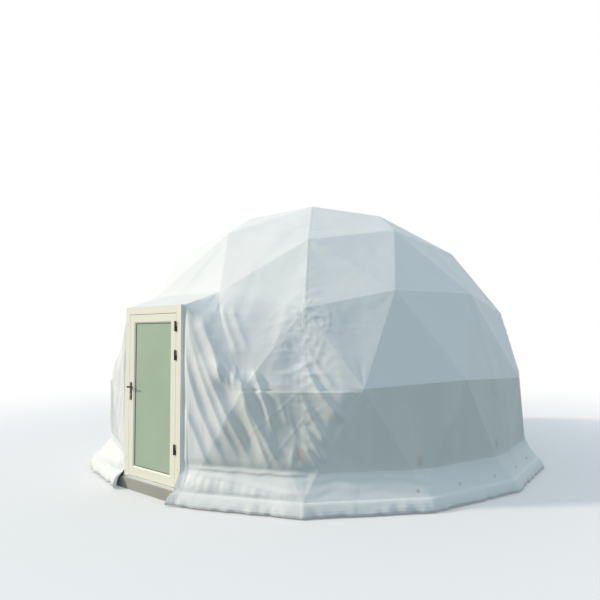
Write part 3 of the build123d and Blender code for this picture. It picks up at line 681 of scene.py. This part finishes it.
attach(cover, "dome")
soft_nodes = [f"cover_{part}_{i}" for part in ("crown", "side") for i in range(1, 6)]
soft_nodes += ["skirt_band", "skirt_hem", "porch_roof", "porch_cheek_left", "porch_cheek_right"]
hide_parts(*soft_nodes)


# Eyelets: rings of nickel-plated brass, 33 mm across, pressed into the skirt just above the pad's rim, round
# the sides and the back.
def mottled(name, scale, detail, dark, light, **sockets):
    """A material whose colour drifts between two tones, with its tree, shader, place and pattern."""
    material, tree, shader = new_material(name, **sockets)
    place = add_node(tree, "TexCoord", {}).outputs["Object"]
    pattern = add_node(tree, "TexNoise", {"Vector": place, "Scale": scale, "Detail": detail}).outputs[0]
    tone = add_node(tree, "Mix", {0: pattern, 6: linear(dark), 7: linear(light)}, data_type="RGBA")
    tree.links.new(tone.outputs[2], shader.inputs["Base Color"])
    return material, tree, shader, place, pattern


def worn_metal(name, metallic, scale, detail, dark, light, smoothest, dullest):
    """A mottled metal that is smoother where it is darker."""
    material, tree, shader, _, pattern = mottled(name, scale, detail, dark, light, Metallic=metallic)
    wear = add_node(tree, "MapRange", {0: pattern, 3: smoothest, 4: dullest})
    tree.links.new(wear.outputs[0], shader.inputs["Roughness"])
    return material


bpy.ops.object.select_all(action="DESELECT")
eyelet_level, first_eyelet, eyelet_step = 0.2, 58, 10.6
rings = []
for i in range(24):
    around = radians(first_eyelet + eyelet_step * i)
    towards = Vector((sin(around), -cos(around), 0))
    _, place, facing, _ = cover.ray_cast(towards * 4 + Vector((0, 0, eyelet_level)), -towards)
    facing = facing if facing.dot(towards) > 0 else -facing
    bpy.ops.mesh.primitive_torus_add(
        location=place + facing * 0.001, rotation=facing.to_track_quat("Z", "Y").to_euler(),
        major_radius=0.0125, minor_radius=0.0042, major_segments=20, minor_segments=8,
    )
    bpy.context.active_object.scale = (1, 1, 0.55)
    rings.append(bpy.context.active_object)
for ring in rings:
    ring.select_set(True)
bpy.ops.object.join()
eyelets = bpy.context.active_object
eyelets.name = "skirt_eyelets"
bpy.ops.object.transform_apply(location=True, rotation=True, scale=True)
bpy.ops.object.shade_smooth()

# Nickel-plated brass: a bright metal, a little dulled by weather
nickel = worn_metal("nickel_plated_brass", 1.0, 90.0, 3.0, "#8f9294", "#b9bbbc", 0.25, 0.5)
coat(nickel, eyelets)
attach(eyelets, "dome")


# Hub bolts: a hexagon head with its washer for each tube end, 75 mm from the hub, on the inner face of its
# plate. They are zinc-plated steel and hold the flattened ends against the plate.
bpy.ops.object.select_all(action="DESELECT")
bpy.ops.mesh.primitive_cylinder_add(vertices=6, radius=0.0105, depth=0.008, location=(0, 0, 0.0055))
bolt_head = bpy.context.active_object
bpy.ops.object.mode_set(mode="EDIT")
bpy.ops.mesh.select_all(action="SELECT")
bpy.ops.mesh.bevel(offset=0.0012, segments=1)
bpy.ops.object.mode_set(mode="OBJECT")
bpy.ops.mesh.primitive_cylinder_add(vertices=18, radius=0.0135, depth=0.002, location=(0, 0, 0.0008))
bolt = bpy.context.active_object
bolt_head.select_set(True)
bpy.ops.object.join()
bpy.ops.object.transform_apply(location=True, rotation=True, scale=True)

# Each bolt's place is where a line from inside the dome, square to its plate, meets the plate
from_hub, line_start, line_length = 0.075, 0.13, 0.16
bpy.context.view_layer.update()
solids = bpy.context.evaluated_depsgraph_get()
bolt_places = []
for hub, far_ends in hub_struts:
    outward = (hub - centre).normalized()
    for far_end in far_ends:
        along = far_end - hub
        along = (along - outward * along.dot(outward)).normalized()
        inside = hub + along * from_hub - outward * line_start
        hit, place, facing, *_ = bpy.context.scene.ray_cast(solids, inside, outward, distance=line_length)
        if hit and hub.z > 0.4 and facing.dot(outward) < -0.9:
            bolt_places.append((place, -outward))
bolts = [bolt]
for _ in bolt_places[1:]:
    bpy.ops.object.select_all(action="DESELECT")
    bolt.select_set(True)
    bpy.context.view_layer.objects.active = bolt
    bpy.ops.object.duplicate()
    bolts.append(bpy.context.active_object)
for each_bolt, (place, facing) in zip(bolts, bolt_places):
    each_bolt.location = place
    each_bolt.rotation_euler = facing.to_track_quat("Z", "Y").to_euler()
    each_bolt.select_set(True)
bpy.context.view_layer.objects.active = bolt
bpy.ops.object.join()
hub_bolts = bpy.context.active_object
hub_bolts.name = "hub_bolts"
bpy.ops.object.transform_apply(location=True, rotation=True, scale=True)

# Zinc-plated steel: brighter and bluer than the tubes
plated = worn_metal("zinc_plated_steel", 1.0, 140.0, 2.0, "#a9adb3", "#cfd2d6", 0.25, 0.4)
coat(plated, hub_bolts)
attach(hub_bolts, "dome")


# Door frame and leaf: aluminium sections, powder-coated cream. The leaf is hung on the right, and sloping
# beads with mitred corners hold its glass.

# Powder-coated aluminium: an even satin film with a faint orange-peel surface of about 2 mm
cream, tree, shader, place, _ = mottled(
    "powder_coated_aluminium", 3.0, 4.0, "#f8f5e0", "#fdfbea", Roughness=0.42
)
peel = add_node(tree, "TexNoise", {"Vector": place, "Scale": 420.0, "Detail": 1.0})
bump = add_node(tree, "Bump", {"Strength": 0.08, "Distance": 0.0006, "Height": peel.outputs[0]})
tree.links.new(bump.outputs[0], shader.inputs["Normal"])
coat(cream, "door_jambs", "door_head", "leaf_stiles", "leaf_rails", "glazing_beads")


# Threshold: an extruded bar of aluminium across the doorway, screwed to the pad. The jambs stand on it, and
# it comes 12 mm further out than they do.

# Anodised aluminium: pale and half dull, with fine lines along the bar from the die, drawn at 1 mm, coarser
# than they are, so that they show
sill, tree, shader = new_material("anodised_aluminium", Metallic=0.5)
place = add_node(tree, "TexCoord", {}).outputs["Object"]
lines = add_node(tree, "Mapping", {0: place, 3: (1.0, 220.0, 220.0)})
drawn_lines = add_node(tree, "TexNoise", {"Vector": lines.outputs[0], "Scale": 4.0, "Detail": 2.0}).outputs[0]
tone = add_node(tree, "Mix", {0: drawn_lines, 6: linear("#e2e4e3"), 7: linear("#f2f3f3")}, data_type="RGBA")
tree.links.new(tone.outputs[2], shader.inputs["Base Color"])
dull = add_node(tree, "MapRange", {0: drawn_lines, 3: 0.3, 4: 0.48})
tree.links.new(dull.outputs[0], shader.inputs["Roughness"])
coat(sill, "door_threshold")


# Door glass: one pane, etched on its face. It fills the leaf between its stiles and rails, and the beads hold
# it, with a gasket between.

# Acid-etched glass: pale green in its depth. Its matt face scatters the light and lets little through.
glass, *_ = mottled(
    "acid_etched_glass", 2.2, 3.0, "#b7cab0", "#c6dabf", Roughness=0.38, IOR=1.5, Transmission_Weight=0.2
)
coat(glass, "door_glass")


# Hinges, lock plates and levers: three hinges on the right, and a plate with a lever on each face of the
# leaf, all of steel and screwed on.

# Steel with a dark bronze lacquer: near black, browner and duller where hands and weather have rubbed it
bronze = worn_metal("dark_bronze_steel", 0.6, 30.0, 4.0, "#3a2c27", "#5a473d", 0.3, 0.5)
coat(bronze, "hinge_frame_halves", "hinge_leaf_halves", "lock_plates", "lever_outside", "lever_inside")


# Lock cylinders: drawn brass, left bare. One comes through each lock plate below the lever, held by a screw
# through the leaf's edge.

# Satin brass: yellow, with dull spots from handling
brass = worn_metal("satin_brass", 1.0, 60.0, 3.0, "#a58a4c", "#c2a563", 0.28, 0.45)
coat(brass, "lock_cylinders")


# Glazing gasket: a black rubber lip round the glass, pressed in between it and the sloping beads. It is 7 mm
# wide and stands 3.5 mm off the glass. Its black also serves as painted shade: the dark line of the rebate's
# shadow on the left and top.
glass_low, glass_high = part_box("door_glass")
bead_cover, lip_width, lip_depth, lip_round = 0.014, 0.007, 0.0035, 0.0012
sight_width, sight_height = (glass_high[axis] - glass_low[axis] - 2 * bead_cover for axis in (0, 2))
bpy.ops.object.select_all(action="DESELECT")
bpy.ops.mesh.primitive_plane_add(size=1, rotation=(radians(90), 0, 0))
gasket = bpy.context.active_object
gasket.name = "glazing_gasket"
bpy.ops.object.transform_apply(location=True, rotation=True, scale=True)
bpy.ops.object.mode_set(mode="EDIT")
bpy.ops.mesh.select_all(action="SELECT")
bpy.ops.transform.resize(value=(sight_width, 1, sight_height))
bpy.ops.transform.translate(value=(0, glass_low.y, (glass_low.z + glass_high.z) / 2))
bpy.ops.mesh.inset(thickness=lip_width)
bpy.ops.mesh.delete(type="FACE")
bpy.ops.mesh.select_all(action="SELECT")
bpy.ops.mesh.extrude_region_move(TRANSFORM_OT_translate={"value": (0, -lip_depth, 0)})
bpy.ops.mesh.region_to_loop()
bpy.ops.mesh.bevel(offset=lip_round, segments=3)
bpy.ops.mesh.select_all(action="SELECT")
bpy.ops.mesh.normals_make_consistent(inside=False)
bpy.ops.object.mode_set(mode="OBJECT")

# EPDM rubber: black and matt, with a fine dusty grain
rubber, *_ = mottled("epdm_rubber", 45.0, 4.0, "#2c2f2c", "#4a4f49", Roughness=0.7)
coat(rubber, gasket)
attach(gasket, "door_leaf")


# Frame screws: pan-head steel screws with a cross recess and the hinges' bronze lacquer, driven through both
# jambs near the foot and the head.
bpy.ops.object.select_all(action="DESELECT")
frame_low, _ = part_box("door_jambs")
screw_x, screw_radius, slot_half, slot_depth = 0.488, 0.0045, 0.0006, 0.0008
screws = []
for x in (-screw_x, screw_x):
    for z in (0.19, 0.34, 1.9):
        bpy.ops.mesh.primitive_uv_sphere_add(
            segments=16, ring_count=8, radius=screw_radius,
            location=(x, frame_low.y - 0.0004, z), rotation=(radians(90), 0, 0),
        )
        screw = bpy.context.active_object
        screw.scale = (1, 1, 0.55)
        bpy.ops.object.mode_set(mode="EDIT")
        bm = bmesh.from_edit_mesh(screw.data)
        for f in bm.faces:
            spot = f.calc_center_median()
            f.select_set(spot.z > 0.003 and min(abs(spot.x), abs(spot.y)) < slot_half)
        bmesh.update_edit_mesh(screw.data)
        bpy.ops.mesh.inset(thickness=0.0001, depth=-slot_depth, use_even_offset=True)
        bpy.ops.object.mode_set(mode="OBJECT")
        screws.append(screw)
for screw in screws:
    screw.select_set(True)
bpy.ops.object.join()
frame_screws = bpy.context.active_object
frame_screws.name = "frame_screws"
bpy.ops.object.transform_apply(location=True, rotation=True, scale=True)
bpy.ops.object.shade_smooth()
coat(bronze, frame_screws)
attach(frame_screws, "dome")


# Studio: a pale floor that runs out into a white surround, and a broad warm lamp from the door's left in cool
# light from all round. Only the camera sees the floor's white. What it throws back on the dome is a dull blue
# grey.
def seen_directly(tree):
    """1 for what the camera sees, straight or in metal or glass, and 0 for what lights the dome."""
    ray = add_node(tree, "LightPath", {}).outputs
    seen = add_node(tree, "Math", {0: ray["Is Camera Ray"], 1: ray["Is Glossy Ray"]}, operation="MAXIMUM")
    seen = add_node(tree, "Math", {0: seen.outputs[0], 1: ray["Is Transmission Ray"]}, operation="MAXIMUM")
    return seen.outputs[0]


bpy.ops.object.select_all(action="DESELECT")
bpy.ops.mesh.primitive_circle_add(vertices=96, radius=60.0, fill_type="NGON", location=(0, 0, 0))
ground = bpy.context.active_object
ground.name = "studio_floor"
floor_paint, tree, shader = new_material("studio_floor", Roughness=0.9)
bounced = add_node(tree, "LightPath", {}).outputs["Is Diffuse Ray"]
paint = add_node(tree, "Mix", {0: bounced, 6: linear("#f4f4f4"), 7: linear("#6f8080")}, data_type="RGBA")
tree.links.new(paint.outputs[2], shader.inputs["Base Color"])
place = add_node(tree, "TexCoord", {}).outputs["Object"]
span = add_node(tree, "VectorMath", {0: place}, operation="LENGTH").outputs["Value"]
far_out = add_node(
    tree, "MapRange", {0: span, 1: 3.2, 2: 12.0, 3: 0.2, 4: 1.0}, interpolation_type="SMOOTHSTEP"
)
share = add_node(tree, "Math", {0: seen_directly(tree), 1: far_out.outputs[0]}, operation="MULTIPLY")
glow = add_node(tree, "Emission", {"Color": (1, 1, 1, 1), "Strength": 1.0})
blend = add_node(tree, "MixShader", {0: share.outputs[0], 1: shader.outputs[0], 2: glow.outputs[0]})
tree.links.new(blend.outputs[0], tree.nodes["Material Output"].inputs["Surface"])
coat(floor_paint, ground)

world = bpy.data.worlds.new("studio_surround")
bpy.context.scene.world = world
world.use_nodes = True
tree = world.node_tree
tree.nodes.clear()
skylight = add_node(tree, "Background", {"Color": linear("#c9dcea"), "Strength": 0.8})
backdrop = add_node(tree, "Background", {"Color": (1, 1, 1, 1), "Strength": 1.0})
blend = add_node(tree, "MixShader", {0: seen_directly(tree), 1: skylight.outputs[0], 2: backdrop.outputs[0]})
add_node(tree, "OutputWorld", {0: blend.outputs[0]})

lamp_turn, lamp_height = radians(-44), radians(26)
towards_lamp = Vector(
    (sin(lamp_turn) * cos(lamp_height), -cos(lamp_turn) * cos(lamp_height), sin(lamp_height))
)
bpy.ops.object.light_add(type="SUN", location=(0, 0, 10))
key_lamp = bpy.context.active_object
key_lamp.name = "key_lamp"
key_lamp.data.energy = 2.3
key_lamp.data.angle = radians(6)
key_lamp.data.color = (1.0, 0.87, 0.72)
key_lamp.rotation_euler = towards_lamp.to_track_quat("Z", "Y").to_euler()


# Camera: at a standing person's eye height, 8.4 m from the dome's axis, ahead of the door and to its right.
# Its place, turns and lens were fitted to the frame's joints in the photograph.
camera_data = bpy.data.cameras.new("camera")
camera = bpy.data.objects.new("camera", camera_data)
bpy.context.scene.collection.objects.link(camera)
bpy.context.scene.camera = camera
camera_data.sensor_width = 36.0
camera_data.lens = 32.304
around, yaw, pitch, lean_over = radians(38.523), radians(-1.696), radians(3.602), radians(-0.269)
distance, eye_height = 8.409, 1.7786
inward = Vector((-sin(around), cos(around), 0))
rightward = Vector((cos(around), sin(around), 0))
look = (rightward * sin(yaw) + inward * cos(yaw)) * cos(pitch) + Vector((0, 0, sin(pitch)))
right = look.cross(Vector((0, 0, 1))).normalized()
up = right.cross(look)
right, up = right * cos(lean_over) + up * sin(lean_over), up * cos(lean_over) - right * sin(lean_over)
turned = Matrix((right, up, -look)).transposed()
camera.matrix_world = Matrix.Translation(-inward * distance + Vector((0, 0, eye_height))) @ turned.to_4x4()

bpy.context.scene.view_settings.view_transform = "Standard"
